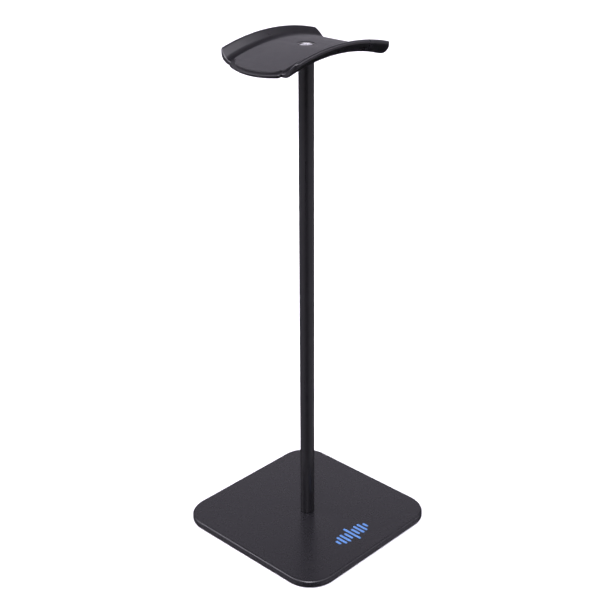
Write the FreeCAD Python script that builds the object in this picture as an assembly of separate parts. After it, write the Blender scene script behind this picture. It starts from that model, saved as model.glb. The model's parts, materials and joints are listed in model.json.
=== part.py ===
import FreeCAD, Part
import math
import os

# Headphone stand: a weighted square base, a slim upright pole and an arched saddle for the headband.
# Millimetres, +Z up. The origin lies on the surface that the stand rests on, under the pole's axis.
# The headband lies along X, over the arch of the saddle. The front of the stand faces -Y.

# Base, from the surface upwards
BASE_SIDE = 105.0
BASE_CORNER = 16.5
BASE_HEIGHT = 4.1
BASE_TOP_ROUND = 1.3
BASE_BOTTOM_ROUND = 0.9
FOOT_STANDOFF = 0.4
COVER_SIDE_WALL = 2.0
COVER_TOP_WALL = 1.4
CLAMP_RING_DIAMETER = 18.0
CRUSH_RIB_HEIGHT = 0.35
CRUSH_RIB_OFFSET = 28.0

FOOT_PAD_THICKNESS = 0.7
FOOT_PAD_INSET = 0.7
ACCESS_HOLE_DIAMETER = 12.0
FILM_THICKNESS = 0.1
TAPE_THICKNESS = 0.2
TAPE_LENGTH = 78.0
TAPE_WIDTH = 12.0
TAPE_OFFSET = 30.0
PLATE_CLEARANCE = 0.4
PLATE_EDGE_CHAMFER = 0.3

# Pole
POLE_DIAMETER = 8.0
POLE_BORE = 6.0
POLE_LENGTH = 269.0
POLE_CHAMFER = 0.35
PLUG_LENGTH = 15.0
PLUG_SETBACK = 0.2
PLUG_CHAMFER = 0.4
SPIGOT_LENGTH = 1.2
SPIGOT_CLEARANCE = 0.05

# M4 screws, with ring grooves for their threads
THREAD_DIAMETER = 3.9
THREAD_CORE = 3.2
THREAD_PITCH = 0.7
TAPPED_HOLE = 4.0
CLEARANCE_HOLE = 4.4
PLAIN_SHANK = 1.0
PAN_HEAD_DIAMETER = 7.8
PAN_HEAD_HEIGHT = 3.0
PAN_HEAD_CROWN = 0.45
PAN_HEAD_ROUND = 1.0
COUNTERSUNK_DIAMETER = 7.6
COUNTERSUNK_RIM = 0.3
COUNTERSINK_DIAMETER = 8.2
SADDLE_SCREW_LENGTH = 12.0
BASE_SCREW_LENGTH = 14.0
CROSS_SPAN = 4.5
CROSS_WIDTH = 1.0
CROSS_DEPTH = 2.0
WASHER_DIAMETER = 9.0
WASHER_BORE = 4.3
WASHER_THICKNESS = 0.8

# Saddle: its section is swept along an arc about an axis parallel to Y, then cut to its outline
ARCH_RADIUS = 117.4
CROWN_ABOVE_POLE = 6.15
SWEEP_ANGLE = 25.0
SADDLE_WALL = 2.05
SADDLE_PAD_THICKNESS = 0.8
LIP_ROOT = 12.0
LIP_FOOT = 19.6
LIP_SLOPE = 44.0
LIP_LENGTH = 6.45
LIP_WALL = 2.45
LIP_INNER_BEND = 6.0
LIP_OUTER_BEND = 7.0
LIP_HALF_LENGTH = 34.9
LIP_CORNER = 4.4
LIP_SIDE_CLEARANCE = 0.15
LIP_END_ROUND = 0.8
FLOOR_HALF_WIDTH = 17.1
FLOOR_TIP = 39.9
FLOOR_TIP_RADIUS = 45.0
FLOOR_CORNER = 2.0
FLOOR_TOP_ROUND = 0.3
FLOOR_BOTTOM_ROUND = 1.4
PAD_HALF_WIDTH = 17.15
PAD_HALF_LENGTH = 33.0
PAD_TIP = 38.1
PAD_TIP_RADIUS = 44.0
PAD_TONGUE_HALF_WIDTH = 15.8
PAD_TONGUE_CORNER = 6.0
PAD_CORNER = 1.2
PAD_FILM_INSET = 0.4
PAD_HOLE_DIAMETER = 9.2
BOSS_DIAMETER = 14.0
BOSS_DRAFT = 0.3
SOCKET_DEPTH = 1.0
SOCKET_CLEARANCE = 0.05
SCREW_WEB = 2.0

# Printed mark: upright bars with round ends, like a sound level
MARK_CENTRE_Y = -35.0
MARK_THICKNESS = 0.05
BAR_WIDTH = 1.5
BAR_PITCH = 2.9
BARS_EACH_SIDE = 4
BAR_SHORTEST = 3.6
BAR_TALLEST = 13.0

# Levels worked out from the dimensions above
COVER_BOTTOM = FOOT_STANDOFF
BASE_TOP = COVER_BOTTOM + BASE_HEIGHT
COVER_CEILING = BASE_TOP - COVER_TOP_WALL
PLATE_BOTTOM = FOOT_PAD_THICKNESS + FILM_THICKNESS
PLATE_TOP = COVER_CEILING - TAPE_THICKNESS
CAVITY_SIDE = BASE_SIDE - 2 * COVER_SIDE_WALL
CAVITY_CORNER = BASE_CORNER - COVER_SIDE_WALL
PLATE_SIDE = CAVITY_SIDE - 2 * PLATE_CLEARANCE
POLE_TOP = BASE_TOP + POLE_LENGTH
CROWN = POLE_TOP + CROWN_ABOVE_POLE
SADDLE_FLOOR = CROWN - SADDLE_PAD_THICKNESS
SADDLE_UNDERSIDE = SADDLE_FLOOR - SADDLE_WALL
ARCH_AXIS = CROWN - ARCH_RADIUS
WASHER_BOTTOM = POLE_TOP + SCREW_WEB
PAN_HEAD_BOTTOM = WASHER_BOTTOM + WASHER_THICKNESS
ABOVE_SADDLE = CROWN + 20.0
BELOW_SADDLE = CROWN - 30.0

UP = FreeCAD.Vector(0, 0, 1)
ALONG_Y = FreeCAD.Vector(0, 1, 0)


def point(x, y, z):
    return FreeCAD.Vector(x, y, z)


def cylinder(diameter, low, high, x=0.0, y=0.0):
    return Part.makeCylinder(diameter / 2, high - low, point(x, y, low), UP)


def rounded_block(length, width, corner, low, high):
    """A block with rounded upright edges, centred on the pole's axis."""
    block = Part.makeBox(length, width, high - low, point(-length / 2, -width / 2, low))
    return block.makeFillet(corner, upright_edges(block))


def upright_edges(shape):
    return [edge for edge in shape.Edges if is_upright(edge)]


def is_upright(edge):
    ends = [vertex.Point for vertex in edge.Vertexes]
    if len(ends) < 2:
        return False
    return math.hypot(ends[0].x - ends[1].x, ends[0].y - ends[1].y) < 1e-6


def edges_at_height(shape, height):
    """The edges that lie flat at one height."""
    return [edge for edge in shape.Edges
            if abs(edge.BoundBox.ZMin - height) < 1e-6 and abs(edge.BoundBox.ZMax - height) < 1e-6]


def turned(outline):
    """A solid of revolution about the Z axis, from (radius, height) points."""
    corners = [point(radius, 0, height) for radius, height in outline]
    face = Part.Face(Part.makePolygon(corners + corners[:1]))
    return face.revolve(point(0, 0, 0), UP, 360)


def tube(outer, inner, low, high, chamfer):
    """A round tube whose outer rims are chamfered."""
    radius = outer / 2
    outline = [
        (inner / 2, low),
        (radius - chamfer, low),
        (radius, low + chamfer),
        (radius, high - chamfer),
        (radius - chamfer, high),
        (inner / 2, high),
    ]
    return turned(outline)


def cross_recess(face_height, direction):
    """The cross-shaped drive of a screw. direction is 1 for a recess cut down, -1 for one cut up."""
    floor = face_height - direction * CROSS_DEPTH
    above = face_height + direction
    half_top = CROSS_SPAN / 2
    half_floor = CROSS_SPAN / 4
    corners = [
        point(-half_top, -CROSS_WIDTH / 2, above),
        point(half_top, -CROSS_WIDTH / 2, above),
        point(half_top, -CROSS_WIDTH / 2, face_height),
        point(half_floor, -CROSS_WIDTH / 2, floor),
        point(-half_floor, -CROSS_WIDTH / 2, floor),
        point(-half_top, -CROSS_WIDTH / 2, face_height),
    ]
    slot = Part.Face(Part.makePolygon(corners + corners[:1])).extrude(ALONG_Y * CROSS_WIDTH)
    other_slot = slot.copy()
    other_slot.rotate(point(0, 0, 0), UP, 90)
    return slot.fuse(other_slot)


def threaded_shank(start, length, direction):
    """(radius, height) points of a grooved shank, from its start at the head to its tip."""
    radius = THREAD_DIAMETER / 2
    core = THREAD_CORE / 2
    points = [(radius, start)]
    travelled = PLAIN_SHANK
    while travelled + THREAD_PITCH < length - THREAD_PITCH:
        points.append((radius, start + direction * travelled))
        points.append((core, start + direction * (travelled + THREAD_PITCH / 2)))
        travelled += THREAD_PITCH
    points.append((radius, start + direction * travelled))
    points.append((core, start + direction * length))
    points.append((0, start + direction * length))
    return points


# Base

def base_cover():
    """Moulded cover, open underneath, with a clamp ring under the pole and ribs that grip the plate."""
    cover = rounded_block(BASE_SIDE, BASE_SIDE, BASE_CORNER, COVER_BOTTOM, BASE_TOP)
    cover = cover.makeFillet(BASE_TOP_ROUND, edges_at_height(cover, BASE_TOP))
    cover = cover.makeFillet(BASE_BOTTOM_ROUND, edges_at_height(cover, COVER_BOTTOM))
    cavity = rounded_block(CAVITY_SIDE, CAVITY_SIDE, CAVITY_CORNER, COVER_BOTTOM - 1, COVER_CEILING)
    cover = cover.cut(cavity)
    cover = cover.fuse([cylinder(CLAMP_RING_DIAMETER, PLATE_TOP, COVER_CEILING)] + crush_ribs())
    spigot_hole = cylinder(POLE_BORE + 2 * SPIGOT_CLEARANCE, COVER_BOTTOM, BASE_TOP + 1)
    return cover.cut(spigot_hole).removeSplitter()


def crush_ribs():
    """Two small upright ribs on each inner wall of the cover."""
    ribs = []
    rib_radius = 2 * CRUSH_RIB_HEIGHT
    wall = CAVITY_SIDE / 2 + rib_radius - CRUSH_RIB_HEIGHT
    for quarter in range(4):
        for offset in (-CRUSH_RIB_OFFSET, CRUSH_RIB_OFFSET):
            rib = cylinder(2 * rib_radius, PLATE_BOTTOM, COVER_CEILING, wall, offset)
            rib.rotate(point(0, 0, 0), UP, 90 * quarter)
            ribs.append(rib)
    return ribs


def weight_plate():
    """Steel plate with a countersunk hole for the base screw."""
    corner = CAVITY_CORNER - PLATE_CLEARANCE
    plate = rounded_block(PLATE_SIDE, PLATE_SIDE, corner, PLATE_BOTTOM, PLATE_TOP)
    rims = edges_at_height(plate, PLATE_BOTTOM) + edges_at_height(plate, PLATE_TOP)
    plate = plate.makeChamfer(PLATE_EDGE_CHAMFER, rims)
    sink_depth = (COUNTERSINK_DIAMETER - CLEARANCE_HOLE) / 2
    sink = [
        (0, PLATE_BOTTOM - 1),
        (COUNTERSINK_DIAMETER / 2, PLATE_BOTTOM - 1),
        (COUNTERSINK_DIAMETER / 2, PLATE_BOTTOM),
        (CLEARANCE_HOLE / 2, PLATE_BOTTOM + sink_depth),
        (CLEARANCE_HOLE / 2, PLATE_TOP + 1),
        (0, PLATE_TOP + 1),
    ]
    return plate.cut(turned(sink))


def weight_plate_tape():
    """Two strips of double-sided tape between the plate and the cover."""
    strips = []
    for centre in (-TAPE_OFFSET, TAPE_OFFSET):
        corner = point(-TAPE_LENGTH / 2, centre - TAPE_WIDTH / 2, PLATE_TOP)
        strips.append(Part.makeBox(TAPE_LENGTH, TAPE_WIDTH, TAPE_THICKNESS, corner))
    return Part.makeCompound(strips)


def underside_sheet(inset, low, high):
    """A thin sheet inside the cover's rim, with an access hole for the base screw."""
    side = CAVITY_SIDE - 2 * inset
    sheet = rounded_block(side, side, CAVITY_CORNER - inset, low, high)
    return sheet.cut(cylinder(ACCESS_HOLE_DIAMETER, low - 1, high + 1))


def anti_slip_pad():
    return underside_sheet(FOOT_PAD_INSET, 0, FOOT_PAD_THICKNESS)


def anti_slip_pad_film():
    return underside_sheet(2 * FOOT_PAD_INSET, FOOT_PAD_THICKNESS, PLATE_BOTTOM)


def base_screw():
    """Countersunk screw, driven from below through the plate into the pole's lower plug."""
    rim = COUNTERSUNK_DIAMETER / 2
    cone_bottom = PLATE_BOTTOM + COUNTERSUNK_RIM
    cone_top = cone_bottom + rim - THREAD_DIAMETER / 2
    outline = [(0, PLATE_BOTTOM), (rim, PLATE_BOTTOM), (rim, cone_bottom)]
    outline += threaded_shank(cone_top, BASE_SCREW_LENGTH - (cone_top - PLATE_BOTTOM), 1)
    return turned(outline).cut(cross_recess(PLATE_BOTTOM, -1))


# Pole

def pole_tube():
    return tube(POLE_DIAMETER, POLE_BORE, BASE_TOP, POLE_TOP, POLE_CHAMFER)


def pole_lower_plug():
    """Tapped plug pressed into the tube. Its spigot centres the pole in the cover."""
    return tube(POLE_BORE, TAPPED_HOLE, BASE_TOP - SPIGOT_LENGTH, BASE_TOP + PLUG_LENGTH, PLUG_CHAMFER)


def pole_upper_plug():
    """Tapped plug pressed into the tube's top end."""
    top = POLE_TOP - PLUG_SETBACK
    return tube(POLE_BORE, TAPPED_HOLE, top - PLUG_LENGTH, top, PLUG_CHAMFER)


# Saddle

def swept(section):
    """Sweeps a face in the YZ plane along the arch, to both sides of the crown."""
    start = section.copy()
    start.rotate(point(0, 0, ARCH_AXIS), ALONG_Y, -SWEEP_ANGLE)
    return start.revolve(point(0, 0, ARCH_AXIS), ALONG_Y, 2 * SWEEP_ANGLE)


def arched_sheet(outline, low, high):
    """An upright prism, cut to the arched layer between two heights at the crown."""
    half_width = outline.BoundBox.YMax + 1
    corners = [
        point(0, -half_width, low),
        point(0, half_width, low),
        point(0, half_width, high),
        point(0, -half_width, high),
    ]
    return swept(Part.Face(Part.makePolygon(corners + corners[:1]))).common(outline)


def barrel_prism(tip, tip_radius, half_width, corner):
    """Upright prism of a plan outline: straight sides, bowed ends and rounded corners."""
    end_centre = tip - tip_radius
    corner_y = half_width - corner
    corner_x = end_centre + math.sqrt((tip_radius - corner) ** 2 - corner_y ** 2)
    end_angle = math.atan2(corner_y, corner_x - end_centre)
    middle_angle = (end_angle + math.pi / 2) / 2
    on_corner = [(corner_x + corner * math.cos(angle), corner_y + corner * math.sin(angle))
                 for angle in (end_angle, middle_angle, math.pi / 2)]

    def at(x, y):
        return point(x, y, BELOW_SADDLE)

    curves = []
    join_x, join_y = on_corner[0]
    for end in (-1, 1):
        curves.append(Part.Arc(at(end * join_x, -join_y), at(end * tip, 0), at(end * join_x, join_y)))
        for side in (-1, 1):
            curves.append(Part.Arc(*[at(end * x, side * y) for x, y in on_corner]))
    for side in (-1, 1):
        curves.append(Part.LineSegment(at(-corner_x, side * half_width), at(corner_x, side * half_width)))
    edges = Part.__sortEdges__([curve.toShape() for curve in curves])
    return Part.Face(Part.Wire(edges)).extrude(UP * (ABOVE_SADDLE - BELOW_SADDLE))


def lip_section():
    """A strip of floor that bends up into a sloping lip with a round rim, in the plane x = 0."""
    slope = math.radians(LIP_SLOPE)

    def on_slope(along, depth):
        """A point up the slope from the lip's inner foot, at a depth below its inner face."""
        return point(0, LIP_FOOT + along * math.cos(slope) + depth * math.sin(slope),
                     SADDLE_FLOOR + along * math.sin(slope) - depth * math.cos(slope))

    def bend(foot, level, radius):
        """The arc that turns a level line into the slope. foot is where the two lines would meet."""
        start_y = foot - radius * math.tan(slope / 2)
        return [point(0, start_y + radius * math.sin(angle), level + radius - radius * math.cos(angle))
                for angle in (0, slope / 2, slope)]

    outer_foot = LIP_FOOT + (LIP_WALL - SADDLE_WALL * math.cos(slope)) / math.sin(slope)
    outer_bend = bend(outer_foot, SADDLE_UNDERSIDE, LIP_OUTER_BEND)
    inner_bend = bend(LIP_FOOT, SADDLE_FLOOR, LIP_INNER_BEND)
    outer_top = on_slope(LIP_LENGTH, LIP_WALL)
    inner_top = on_slope(LIP_LENGTH, 0)
    rim_middle = on_slope(LIP_LENGTH + LIP_WALL / 2, LIP_WALL / 2)
    floor_root = point(0, LIP_ROOT, SADDLE_FLOOR)
    under_root = point(0, LIP_ROOT, SADDLE_UNDERSIDE)
    edges = [
        Part.LineSegment(under_root, outer_bend[0]),
        Part.Arc(*outer_bend),
        Part.LineSegment(outer_bend[2], outer_top),
        Part.Arc(outer_top, rim_middle, inner_top),
        Part.LineSegment(inner_top, inner_bend[2]),
        Part.Arc(inner_bend[2], inner_bend[1], inner_bend[0]),
        Part.LineSegment(inner_bend[0], floor_root),
        Part.LineSegment(floor_root, under_root),
    ]
    return Part.Face(Part.Wire([edge.toShape() for edge in edges]))


def saddle_lip():
    """One lip along the arch, cut off squarely at both ends, with rounded corners and edges."""
    section = lip_section()
    width = 2 * (section.BoundBox.YMax + LIP_SIDE_CLEARANCE)
    outline = rounded_block(2 * LIP_HALF_LENGTH, width, LIP_CORNER, BELOW_SADDLE, ABOVE_SADDLE)
    lip = swept(section).common(outline)
    rims = [edge for edge in lip.Edges if is_end_edge(edge)]
    return lip.makeFillet(LIP_END_ROUND, rims)


def is_end_edge(edge):
    """True for an edge in one of the lip's two end planes, beyond the root inside the floor."""
    box = edge.BoundBox
    in_plane = box.XMax - box.XMin < 1e-3 and abs(abs(box.Center.x) - LIP_HALF_LENGTH) < 1e-3
    return in_plane and box.YMax > LIP_ROOT + 1


def saddle_floor():
    """The arched floor with its bowed tongues, thin at the top edge and well rounded below."""
    outline = barrel_prism(FLOOR_TIP, FLOOR_TIP_RADIUS, FLOOR_HALF_WIDTH, FLOOR_CORNER)
    floor = arched_sheet(outline, SADDLE_UNDERSIDE, SADDLE_FLOOR)
    floor = floor.makeFillet(FLOOR_BOTTOM_ROUND, rim_edges(floor, SADDLE_UNDERSIDE))
    return floor.makeFillet(FLOOR_TOP_ROUND, rim_edges(floor, SADDLE_FLOOR))


def rim_edges(sheet, height):
    """The edges of an arched sheet that lie all along in its surface of one height at the crown."""
    radius = height - ARCH_AXIS
    rims = []
    for edge in sheet.Edges:
        length = edge.LastParameter - edge.FirstParameter
        spots = [edge.valueAt(edge.FirstParameter + share * length) for share in (0, 0.5, 1)]
        if all(abs(math.hypot(spot.x, spot.z - ARCH_AXIS) - radius) < 1e-3 for spot in spots):
            rims.append(edge)
    return rims


def saddle_boss():
    """Tapered boss under the floor, which takes the end of the pole."""
    bottom = POLE_TOP - SOCKET_DEPTH
    top = (SADDLE_FLOOR + SADDLE_UNDERSIDE) / 2
    return Part.makeCone(BOSS_DIAMETER / 2 - BOSS_DRAFT, BOSS_DIAMETER / 2, top - bottom,
                         point(0, 0, bottom), UP)


def saddle_shell():
    """Moulded arch with two lips, and a boss for the pole and its screw."""
    lip = saddle_lip()
    other_lip = lip.mirror(point(0, 0, 0), ALONG_Y)
    shell = saddle_floor().fuse([lip, other_lip, saddle_boss()]).removeSplitter()
    socket_diameter = POLE_DIAMETER + 2 * SOCKET_CLEARANCE
    shell = shell.cut(cylinder(socket_diameter, BELOW_SADDLE, POLE_TOP))
    shell = shell.cut(cylinder(CLEARANCE_HOLE, BELOW_SADDLE, ABOVE_SADDLE))
    return shell.cut(cylinder(PAD_HOLE_DIAMETER, WASHER_BOTTOM, ABOVE_SADDLE))


def pad_sheet(inset, low, high):
    """A sheet with the pad's outline, less an inset, between two heights at the crown."""
    tongues = barrel_prism(PAD_TIP - inset, PAD_TIP_RADIUS - inset, PAD_TONGUE_HALF_WIDTH - inset,
                           PAD_TONGUE_CORNER - inset)
    middle = rounded_block(2 * (PAD_HALF_LENGTH - inset), 2 * (PAD_HALF_WIDTH - inset),
                           PAD_CORNER - inset, BELOW_SADDLE, ABOVE_SADDLE)
    return arched_sheet(tongues.fuse(middle).removeSplitter(), low, high)


def saddle_pad():
    """Soft inlay that stands a little proud of the saddle's floor."""
    pad = pad_sheet(0, SADDLE_FLOOR + FILM_THICKNESS, CROWN)
    return pad.cut(cylinder(PAD_HOLE_DIAMETER, BELOW_SADDLE, ABOVE_SADDLE))


def saddle_pad_film():
    """Adhesive film under the inlay."""
    film = pad_sheet(PAD_FILM_INSET, SADDLE_FLOOR, SADDLE_FLOOR + FILM_THICKNESS)
    return film.cut(cylinder(PAD_HOLE_DIAMETER, BELOW_SADDLE, ABOVE_SADDLE))


def saddle_screw_washer():
    low = WASHER_BOTTOM
    return tube(WASHER_DIAMETER, WASHER_BORE, low, low + WASHER_THICKNESS, 0.1)


def saddle_screw():
    """Pan-head screw, sunk in the saddle and driven down into the pole's upper plug."""
    radius = PAN_HEAD_DIAMETER / 2
    bottom = PAN_HEAD_BOTTOM
    top = bottom + PAN_HEAD_HEIGHT
    outline = [(0, top), (radius * 0.35, top - 0.04), (radius * 0.6, top - 0.15)]
    shoulder_radius = radius - PAN_HEAD_ROUND
    shoulder = top - PAN_HEAD_CROWN - PAN_HEAD_ROUND
    for step in range(1, 6):
        angle = math.radians(90 - 18 * step)
        outline.append((shoulder_radius + PAN_HEAD_ROUND * math.cos(angle),
                        shoulder + PAN_HEAD_ROUND * math.sin(angle)))
    outline.append((radius, bottom))
    outline += threaded_shank(bottom, SADDLE_SCREW_LENGTH, -1)
    return turned(outline).cut(cross_recess(top, 1))


# Printed mark

def printed_mark():
    """A row of level bars in a thin layer of ink on the base."""
    bars = []
    for index in range(-BARS_EACH_SIDE, BARS_EACH_SIDE + 1):
        swing = abs(math.cos(index * math.pi / 2.6))
        fade = 1 - abs(index) / (BARS_EACH_SIDE + 2)
        height = BAR_SHORTEST + (BAR_TALLEST - BAR_SHORTEST) * swing * fade
        bar = rounded_block(BAR_WIDTH, height, BAR_WIDTH / 2 - 0.01, BASE_TOP, BASE_TOP + MARK_THICKNESS)
        bar.translate(point(index * BAR_PITCH, MARK_CENTRE_Y, 0))
        bars.append(bar)
    return Part.makeCompound(bars)


SUB_PARTS = (
    base_cover,
    weight_plate,
    weight_plate_tape,
    anti_slip_pad,
    anti_slip_pad_film,
    base_screw,
    pole_tube,
    pole_lower_plug,
    pole_upper_plug,
    saddle_shell,
    saddle_pad,
    saddle_pad_film,
    saddle_screw,
    saddle_screw_washer,
    printed_mark,
)

os.makedirs("parts", exist_ok=True)
for sub_part in SUB_PARTS:
    shape = sub_part()
    shape.exportStep("parts/" + sub_part.__name__ + ".step")
    print(sub_part.__name__, "solids", len(shape.Solids), "valid", shape.isValid(),
          "volume", round(shape.Volume, 2), "mm3")
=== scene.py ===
import json
import math

import bmesh
import bpy
from mathutils import Matrix, Vector


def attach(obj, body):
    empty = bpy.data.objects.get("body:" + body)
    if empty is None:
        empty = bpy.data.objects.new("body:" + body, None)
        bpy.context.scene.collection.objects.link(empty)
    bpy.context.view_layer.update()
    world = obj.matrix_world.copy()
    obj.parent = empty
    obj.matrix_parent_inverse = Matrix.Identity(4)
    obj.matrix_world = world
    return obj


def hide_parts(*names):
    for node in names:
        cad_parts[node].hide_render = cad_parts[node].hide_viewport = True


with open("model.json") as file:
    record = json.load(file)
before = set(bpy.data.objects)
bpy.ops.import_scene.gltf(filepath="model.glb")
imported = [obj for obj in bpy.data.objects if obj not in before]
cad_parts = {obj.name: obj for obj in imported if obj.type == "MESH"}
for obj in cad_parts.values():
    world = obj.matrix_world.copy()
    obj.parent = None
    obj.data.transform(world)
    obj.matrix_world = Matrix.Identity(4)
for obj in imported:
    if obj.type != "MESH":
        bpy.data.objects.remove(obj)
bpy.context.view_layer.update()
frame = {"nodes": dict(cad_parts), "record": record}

# Headphone stand: the looks around the fixed CAD frame. Metres, with +Z up.
nodes = frame["nodes"]
BODY = "root"
MM = 0.001

# Camera: angles in degrees, and the point that it looks at, a little beside the pole's axis
LENS_MM = 70.72
SENSOR_MM = 36.0
CAMERA_AZIMUTH = -46.14
CAMERA_ELEVATION = 24.70
CAMERA_ROLL = -0.33
CAMERA_DISTANCE = 0.6384
AIM_HEIGHT = 0.14045
AIM_SIDE = -0.00373

AZIMUTH = math.radians(CAMERA_AZIMUTH)
UP = Vector((0, 0, 1))
CAMERA_RIGHT = Vector((math.cos(AZIMUTH), math.sin(AZIMUTH), 0))
AWAY_FROM_CAMERA = Vector((-math.sin(AZIMUTH), math.cos(AZIMUTH), 0))

# Floor and backdrop
FLOOR_SIDE = 12.0
FLOOR_WHITE = 0.85
BACKDROP_RADIUS = 5.9
BACKDROP_HEIGHT = 9.0
BACKDROP_SEGMENTS = 96

# Lamps: the way to each one as (away from the camera, to the right, up), with the angle in degrees
# that it fills and its light on a surface that faces it, in W/m2
LAMP_TINT = (0.95, 0.93, 1.0)
KEY_LAMP = ((-0.62, -0.08, 0.78), 24, 2.2)
LEFT_LAMP = ((0.05, -0.68, 0.73), 30, 0.6)
RIGHT_LAMP = ((-0.05, 0.60, 0.80), 30, 0.26)

# Surroundings: the brightness of each light, and the stretches over which it fades in or out. They
# say how far a looking direction, 1 long, points up (foot, top and horizon), sideways (side, edge and
# left to right) or away from the camera (front and back).
STUDIO_TINT = (0.92, 0.87, 1.0)
DIM = 0.025
BELOW_DIM = 0.015
HORIZON = (-0.15, 0.0)

BACK_WALL = 0.74
WALL_FOOT = (0.0, 0.2)
WALL_TOP = (0.50, 0.80)
WALL_SIDE_SQUARED = (0.12, 0.34)
WALL_FRONT = (0.35, 0.70)

LEFT_PANEL = 0.46
RIGHT_PANEL = 0.52
PANEL_FOOT = (-0.95, -0.75)
PANEL_TOP = (-0.1, 0.3)
PANEL_EDGE = (0.45, 0.90)
PANEL_TURN = 0.3

LIGHT_ARCH = 4.0
ARCH_RIGHT_PART = 0.45
ARCH_LEFT_TO_RIGHT = (-0.1, 0.7)
ARCH_FRONT = (-1.0, -0.80)
ARCH_BACK = (-0.30, -0.12)
ARCH_FOOT = (0.15, 0.35)
ARCH_BOW = 1.1

# Colours: the darkest and the lightest shade that a surface has
MOULDED_SHADES = ((0.0065, 0.0062, 0.0076), (0.0085, 0.0081, 0.0097))
ANODISED_SHADES = ((0.0052, 0.0050, 0.0060), (0.0068, 0.0065, 0.0078))
RUBBER_SHADES = ((0.016, 0.0156, 0.0172), (0.024, 0.0232, 0.0256))
# Foam: its darker shade is painted shade, laid in the pits of the cut cells
FOAM_SHADES_WITH_PAINTED_PIT_SHADE = ((0.012, 0.012, 0.013), (0.035, 0.034, 0.036))
TURNED_STEEL_SHADES = ((0.66, 0.66, 0.68), (0.90, 0.90, 0.91))
ROLLED_STEEL_SHADES = ((0.36, 0.37, 0.40), (0.55, 0.56, 0.58))
BRASS_SHADES = ((0.55, 0.38, 0.16), (0.75, 0.56, 0.27))
TAPE_SHADES = ((0.70, 0.69, 0.66), (0.82, 0.81, 0.78))
INK_SHADES = ((0.063, 0.156, 0.38), (0.088, 0.210, 0.46))

# Texture: the stretch that most values of a noise lie in, and the sizes of patterns
NOISE_LOW = 0.3
NOISE_HIGH = 0.7
SPECKLE_PART = 0.3
FOAM_CELL = 0.6 * MM
FOAM_CELL_SLOPE = (0.0, 0.6)
LATHE_RING = 1.6 * MM

# Sockets of a Mix node that mixes colours
MIX_FACTOR = 0
MIX_COLOURS = slice(6, 8)
MIX_RESULT = 2

# Soft parts
PAD_EDGE_ROUND = 0.3 * MM
FOOT_EDGE_ROUND = 0.25 * MM
ROUND_SEGMENTS = 4
ROUND_ANGLE = math.radians(40)
FLAT_ANGLE = math.radians(0.5)
WELD_DISTANCE = 0.001 * MM


# Node helpers

def new_material(name):
    """A node material, with its node tree and its shader."""
    material = bpy.data.materials.new(name)
    material.use_nodes = True
    tree = material.node_tree
    return material, tree, tree.nodes["Principled BSDF"]


def set_inputs(node, **values):
    """Sets sockets by name, with _ for a space."""
    for name, value in values.items():
        node.inputs[name.replace("_", " ")].default_value = value


def surface_place(tree, stretch=(1, 1, 1)):
    """A position on the object, scaled along each axis."""
    coordinates = tree.nodes.new("ShaderNodeTexCoord")
    mapping = tree.nodes.new("ShaderNodeMapping")
    mapping.inputs["Scale"].default_value = stretch
    tree.links.new(coordinates.outputs["Object"], mapping.inputs["Vector"])
    return mapping.outputs["Vector"]


def noise(tree, place, grain_size, detail=2.0, roughness=0.5):
    """Noise whose patches are about grain_size across, in metres."""
    node = tree.nodes.new("ShaderNodeTexNoise")
    set_inputs(node, Scale=1 / grain_size, Detail=detail, Roughness=roughness)
    tree.links.new(place, node.inputs["Vector"])
    return node.outputs["Fac"]


def ramp(tree, value, low, high, output_low, output_high):
    """Takes the stretch low to high of a value smoothly to another stretch."""
    node = tree.nodes.new("ShaderNodeMapRange")
    node.interpolation_type = "SMOOTHSTEP"
    set_inputs(node, From_Min=low, From_Max=high, To_Min=output_low, To_Max=output_high)
    tree.links.new(value, node.inputs["Value"])
    return node.outputs["Result"]


def fade_in(tree, value, stretch, full=1):
    """0 below a stretch of a value, and full above it."""
    return ramp(tree, value, *stretch, 0, full)


def fade_out(tree, value, stretch):
    """1 below a stretch of a value, and 0 above it."""
    return ramp(tree, value, *stretch, 1, 0)


def arithmetic(tree, operation, first, second):
    """The result of an operation on two values, each of them a number or a socket."""
    node = tree.nodes.new("ShaderNodeMath")
    node.operation = operation
    for socket, value in zip(node.inputs, (first, second)):
        if isinstance(value, (int, float)):
            socket.default_value = value
        else:
            tree.links.new(value, socket)
    return node.outputs["Value"]


def multiply(tree, first, second):
    return arithmetic(tree, "MULTIPLY", first, second)


def add(tree, first, second):
    return arithmetic(tree, "ADD", first, second)


def vary_colour(tree, shader, value, shades):
    """Lets a value of 0 to 1 choose between the darkest and the lightest shade."""
    blend = tree.nodes.new("ShaderNodeMix")
    blend.data_type = "RGBA"
    for socket, shade in zip(blend.inputs[MIX_COLOURS], shades):
        socket.default_value = (*shade, 1)
    tree.links.new(value, blend.inputs[MIX_FACTOR])
    tree.links.new(blend.outputs[MIX_RESULT], shader.inputs["Base Color"])


def vary_roughness(tree, shader, value, smoothest, roughest):
    """Lets a noise choose between the smoothest and the roughest gloss."""
    roughness = ramp(tree, value, NOISE_LOW, NOISE_HIGH, smoothest, roughest)
    tree.links.new(roughness, shader.inputs["Roughness"])


def bump(tree, shader, height, depth):
    """Raises the surface by height times depth, in metres."""
    node = tree.nodes.new("ShaderNodeBump")
    set_inputs(node, Strength=1.0, Distance=depth)
    tree.links.new(height, node.inputs["Height"])
    tree.links.new(node.outputs["Normal"], shader.inputs["Normal"])


# Materials

def moulded_plastic(name, smoothest, roughest, refraction):
    """Satin moulded plastic: fine grain, and slight changes of shade and gloss over the surface."""
    material, tree, shader = new_material(name)
    place = surface_place(tree)
    clouds = noise(tree, place, 30 * MM, detail=4)
    handling = noise(tree, place, 7 * MM, detail=5, roughness=0.6)
    grain = noise(tree, place, 0.35 * MM, detail=1)
    vary_colour(tree, shader, clouds, MOULDED_SHADES)
    vary_roughness(tree, shader, handling, smoothest, roughest)
    bump(tree, shader, grain, 0.003 * MM)
    set_inputs(shader, IOR=refraction)
    return material


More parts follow.
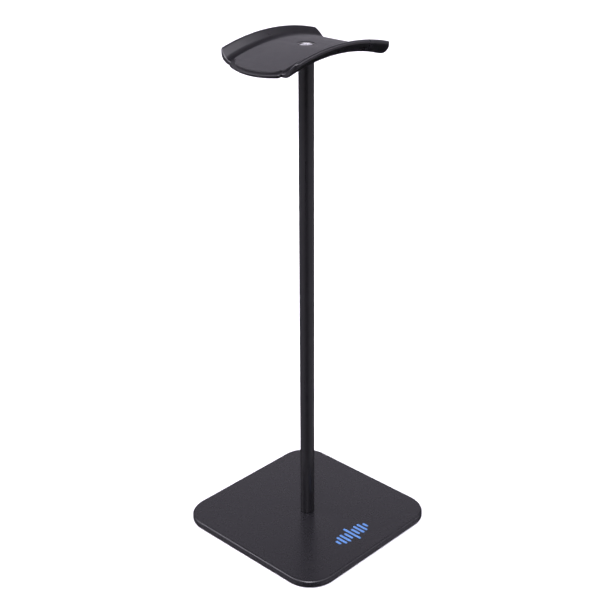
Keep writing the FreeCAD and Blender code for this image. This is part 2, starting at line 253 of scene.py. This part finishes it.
def anodised_metal(name):
    """Black anodised tube: fine draw lines along its length."""
    material, tree, shader = new_material(name)
    lines = noise(tree, surface_place(tree, (1, 1, 0.02)), 0.5 * MM, detail=4, roughness=0.7)
    clouds = noise(tree, surface_place(tree), 25 * MM, detail=3)
    vary_colour(tree, shader, clouds, ANODISED_SHADES)
    vary_roughness(tree, shader, lines, 0.27, 0.37)
    bump(tree, shader, lines, 0.004 * MM)
    set_inputs(shader, IOR=1.5)
    return material


def matte_rubber(name):
    """Dark grey rubber with a dull, slightly powdery surface."""
    material, tree, shader = new_material(name)
    place = surface_place(tree)
    clouds = noise(tree, place, 12 * MM, detail=5, roughness=0.6)
    speckle = noise(tree, place, 0.45 * MM, detail=2)
    shade = add(tree, multiply(tree, clouds, 1 - SPECKLE_PART), multiply(tree, speckle, SPECKLE_PART))
    vary_colour(tree, shader, shade, RUBBER_SHADES)
    vary_roughness(tree, shader, clouds, 0.62, 0.74)
    bump(tree, shader, speckle, 0.02 * MM)
    set_inputs(shader, IOR=1.45, Sheen_Weight=0.08, Sheen_Roughness=0.5)
    return material


def foam(name):
    """Black closed-cell foam, with its cells cut open at the surface, and painted shade that darkens the
    pits of the cells.
    """
    material, tree, shader = new_material(name)
    cells = tree.nodes.new("ShaderNodeTexVoronoi")
    set_inputs(cells, Scale=1 / FOAM_CELL)
    tree.links.new(surface_place(tree), cells.inputs["Vector"])
    height = fade_in(tree, cells.outputs["Distance"], FOAM_CELL_SLOPE)
    # The colour follows the cells' depth: painted shade, darkest in their pits
    vary_colour(tree, shader, height, FOAM_SHADES_WITH_PAINTED_PIT_SHADE)
    bump(tree, shader, height, 0.08 * MM)
    set_inputs(shader, Roughness=0.92)
    return material


def turned_steel(name):
    """Bright zinc-plated steel with fine rings left by the lathe."""
    material, tree, shader = new_material(name)
    place = surface_place(tree)
    rings = tree.nodes.new("ShaderNodeTexWave")
    rings.wave_type = "RINGS"
    rings.rings_direction = "Z"
    set_inputs(rings, Scale=1 / LATHE_RING, Distortion=0.6, Detail=2.0)
    tree.links.new(place, rings.inputs["Vector"])
    stains = noise(tree, place, 1.5 * MM, detail=4, roughness=0.65)
    vary_colour(tree, shader, stains, TURNED_STEEL_SHADES)
    vary_roughness(tree, shader, stains, 0.38, 0.52)
    bump(tree, shader, rings.outputs["Fac"], 0.006 * MM)
    set_inputs(shader, Metallic=1.0)
    return material


def rolled_steel(name):
    """Zinc-plated plate with faint rolling lines and spangle."""
    material, tree, shader = new_material(name)
    spangle = noise(tree, surface_place(tree), 6 * MM, detail=3)
    lines = noise(tree, surface_place(tree, (1, 0.03, 1)), 0.6 * MM, detail=3)
    vary_colour(tree, shader, spangle, ROLLED_STEEL_SHADES)
    vary_roughness(tree, shader, lines, 0.34, 0.48)
    bump(tree, shader, lines, 0.005 * MM)
    set_inputs(shader, Metallic=1.0)
    return material


def turned_brass(name):
    """Plain brass, slightly tarnished, with fine lines left by the lathe."""
    material, tree, shader = new_material(name)
    lines = noise(tree, surface_place(tree, (0.05, 0.05, 1)), 0.2 * MM, detail=2)
    tarnish = noise(tree, surface_place(tree), 4 * MM, detail=4)
    vary_colour(tree, shader, tarnish, BRASS_SHADES)
    vary_roughness(tree, shader, lines, 0.26, 0.40)
    bump(tree, shader, lines, 0.006 * MM)
    set_inputs(shader, Metallic=1.0)
    return material


def tape(name):
    """Milky adhesive tape with faint wrinkles."""
    material, tree, shader = new_material(name)
    place = surface_place(tree)
    clouds = noise(tree, place, 5 * MM, detail=4)
    wrinkles = noise(tree, place, 2.5 * MM, detail=3)
    vary_colour(tree, shader, clouds, TAPE_SHADES)
    bump(tree, shader, wrinkles, 0.03 * MM)
    set_inputs(shader, Roughness=0.45)
    return material


def ink(name):
    """Pad-printed ink: slightly uneven in colour and gloss, with a fine grain."""
    material, tree, shader = new_material(name)
    place = surface_place(tree)
    clouds = noise(tree, place, 2.0 * MM, detail=4)
    grain = noise(tree, place, 0.3 * MM)
    vary_colour(tree, shader, clouds, INK_SHADES)
    vary_roughness(tree, shader, clouds, 0.42, 0.55)
    bump(tree, shader, grain, 0.008 * MM)
    return material


def make_materials():
    """One material for each of the record's slots."""
    return {
        "cover_black": moulded_plastic("cover_plastic", smoothest=0.25, roughest=0.30, refraction=1.5),
        "saddle_black": moulded_plastic("saddle_plastic", smoothest=0.27, roughest=0.33, refraction=1.56),
        "pole_black": anodised_metal("pole_anodised"),
        "pad_rubber": matte_rubber("pad_rubber"),
        "foot_foam": foam("foot_foam"),
        "screw_steel": turned_steel("screw_steel"),
        "plate_steel": rolled_steel("plate_steel"),
        "plug_brass": turned_brass("plug_brass"),
        "tape_white": tape("tape_white"),
        "ink_blue": ink("ink_blue"),
    }


# Objects

def new_object(name, data):
    """A new object in the scene."""
    thing = bpy.data.objects.new(name, data)
    bpy.context.scene.collection.objects.link(thing)
    return thing


def dress(thing, material):
    """Gives an object one material in every slot that it has."""
    if not thing.data.materials:
        thing.data.materials.append(material)
    for material_slot in thing.material_slots:
        material_slot.material = material


def dress_cad_nodes(materials):
    """Gives each CAD node the material of its slot."""
    for subpart in frame["record"]["subparts"]:
        dress(nodes[subpart["node"]], materials[subpart["material_slot"]])


# Soft parts

def sharp_edges(shape):
    """The edges whose two faces meet at a corner."""
    return [edge for edge in shape.edges
            if len(edge.link_faces) == 2 and edge.calc_face_angle() > ROUND_ANGLE]


def rounded_copy(name, node, edge_round):
    """A copy of a CAD node's mesh with rounded edges."""
    mesh = nodes[node].data.copy()
    mesh.name = name
    shape = bmesh.new()
    shape.from_mesh(mesh)
    bmesh.ops.remove_doubles(shape, verts=shape.verts, dist=WELD_DISTANCE)
    bmesh.ops.dissolve_limit(shape, angle_limit=FLAT_ANGLE, verts=shape.verts, edges=shape.edges)
    bmesh.ops.bevel(shape, geom=sharp_edges(shape), offset=edge_round, segments=ROUND_SEGMENTS,
                    profile=0.5, affect="EDGES", clamp_overlap=True)
    bmesh.ops.triangulate(shape, faces=[face for face in shape.faces if len(face.verts) > 4])
    shape.to_mesh(mesh)
    shape.free()
    mesh.shade_smooth()
    return mesh


def soft_piece(name, node, edge_round, slot, materials):
    """A softly rounded sheet, which stands in for a CAD one."""
    piece = new_object(name, rounded_copy(name, node, edge_round))
    dress(piece, materials[slot])
    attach(piece, BODY)
    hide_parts(node)


# Studio

def make_camera():
    """The camera, which looks down at the stand from over its front left corner."""
    elevation = math.radians(CAMERA_ELEVATION)
    back = -AWAY_FROM_CAMERA * math.cos(elevation) + UP * math.sin(elevation)
    camera = new_object("camera", bpy.data.cameras.new("camera"))
    camera.data.lens = LENS_MM
    camera.data.sensor_width = SENSOR_MM
    level = back.to_track_quat("Z", "Y").to_matrix().to_4x4()
    roll = Matrix.Rotation(math.radians(CAMERA_ROLL), 4, "Z")
    aim = UP * AIM_HEIGHT + CAMERA_RIGHT * AIM_SIDE
    camera.matrix_world = Matrix.Translation(aim + back * CAMERA_DISTANCE) @ level @ roll
    bpy.context.scene.camera = camera


def make_floor():
    """Plain white floor. Reflections pass through it, to the darker studio below."""
    mesh = bpy.data.meshes.new("floor")
    half = FLOOR_SIDE / 2
    corners = [(-half, -half, 0), (half, -half, 0), (half, half, 0), (-half, half, 0)]
    mesh.from_pydata(corners, [], [(0, 1, 2, 3)])
    floor = new_object("floor", mesh)
    material, _, shader = new_material("floor_white")
    set_inputs(shader, Base_Color=(FLOOR_WHITE, FLOOR_WHITE, FLOOR_WHITE, 1), Roughness=1.0)
    set_inputs(shader, Specular_IOR_Level=0.0)
    dress(floor, material)
    floor.visible_glossy = False


def make_backdrop():
    """Round white wall behind everything, which neither lights nor shades the stand."""
    mesh = bpy.data.meshes.new("backdrop")
    wall = bmesh.new()
    bmesh.ops.create_cone(wall, segments=BACKDROP_SEGMENTS, radius1=BACKDROP_RADIUS,
                          radius2=BACKDROP_RADIUS, depth=BACKDROP_HEIGHT,
                          matrix=Matrix.Translation(UP * BACKDROP_HEIGHT / 2))
    wall.to_mesh(mesh)
    wall.free()
    backdrop = new_object("backdrop", mesh)
    material, _, shader = new_material("backdrop_white")
    set_inputs(shader, Base_Color=(0, 0, 0, 1), Specular_IOR_Level=0.0)
    set_inputs(shader, Emission_Color=(1, 1, 1, 1), Emission_Strength=1.0)
    dress(backdrop, material)
    backdrop.visible_diffuse = False
    backdrop.visible_glossy = False
    backdrop.visible_shadow = False


def make_lamp(name, lamp_settings):
    """A far, broad lamp, which lights the whole floor evenly."""
    (away, right, up), angle, strength = lamp_settings
    light = bpy.data.lights.new(name, "SUN")
    light.angle = math.radians(angle)
    light.color = LAMP_TINT
    light.energy = strength
    to_lamp = AWAY_FROM_CAMERA * away + CAMERA_RIGHT * right + UP * up
    lamp = new_object(name, light)
    lamp.rotation_euler = to_lamp.to_track_quat("Z", "Y").to_euler()


# Surroundings

def direction_part(tree, direction, axis):
    """How far the looking direction points along an axis."""
    node = tree.nodes.new("ShaderNodeVectorMath")
    node.operation = "DOT_PRODUCT"
    node.inputs[1].default_value = axis
    tree.links.new(direction, node.inputs[0])
    return node.outputs["Value"]


def back_wall(tree, up, right_squared, away):
    """Bright wall behind the stand, narrow enough to leave both sides dark."""
    wall = multiply(tree, fade_in(tree, up, WALL_FOOT, BACK_WALL), fade_out(tree, up, WALL_TOP))
    wall = multiply(tree, wall, fade_out(tree, right_squared, WALL_SIDE_SQUARED))
    return multiply(tree, wall, fade_in(tree, away, WALL_FRONT))


def side_panel(tree, up, side, away, strength):
    """Soft panel low on one side, turned a little towards the camera."""
    height = multiply(tree, fade_in(tree, up, PANEL_FOOT), fade_out(tree, up, PANEL_TOP))
    towards_panel = add(tree, side, multiply(tree, away, -PANEL_TURN))
    return multiply(tree, fade_in(tree, towards_panel, PANEL_EDGE, strength), height)


def light_arch(tree, up, right, right_squared, away):
    """Light over the camera's side from left to right, which comes forward at its ends."""
    across = add(tree, away, multiply(tree, right_squared, -ARCH_BOW))
    arch = multiply(tree, fade_in(tree, across, ARCH_FRONT), fade_out(tree, across, ARCH_BACK))
    arch = multiply(tree, arch, fade_in(tree, up, ARCH_FOOT))
    strength = ramp(tree, right, *ARCH_LEFT_TO_RIGHT, LIGHT_ARCH, ARCH_RIGHT_PART * LIGHT_ARCH)
    return multiply(tree, arch, strength)


def make_surroundings():
    """Dim studio: a bright back wall, a soft panel low on each side and an arch of light overhead."""
    world = bpy.data.worlds.new("studio")
    world.use_nodes = True
    bpy.context.scene.world = world
    tree = world.node_tree
    direction = tree.nodes.new("ShaderNodeTexCoord").outputs["Generated"]
    up = direction_part(tree, direction, UP)
    away = direction_part(tree, direction, AWAY_FROM_CAMERA)
    right = direction_part(tree, direction, CAMERA_RIGHT)
    left = multiply(tree, right, -1.0)
    right_squared = multiply(tree, right, right)

    total = ramp(tree, up, *HORIZON, BELOW_DIM, DIM)
    for light in (back_wall(tree, up, right_squared, away),
                  side_panel(tree, up, left, away, LEFT_PANEL),
                  side_panel(tree, up, right, away, RIGHT_PANEL),
                  light_arch(tree, up, right, right_squared, away)):
        total = add(tree, total, light)

    background = tree.nodes["Background"]
    background.inputs["Color"].default_value = (*STUDIO_TINT, 1)
    tree.links.new(total, background.inputs["Strength"])


make_camera()
make_floor()
make_backdrop()
make_lamp("key", KEY_LAMP)
make_lamp("left", LEFT_LAMP)
make_lamp("right", RIGHT_LAMP)
make_surroundings()
bpy.context.scene.view_settings.view_transform = "Standard"

slot_materials = make_materials()
dress_cad_nodes(slot_materials)
soft_piece("saddle_inlay", "saddle_pad", PAD_EDGE_ROUND, "pad_rubber", slot_materials)
soft_piece("foot_sheet", "anti_slip_pad", FOOT_EDGE_ROUND, "foot_foam", slot_materials)
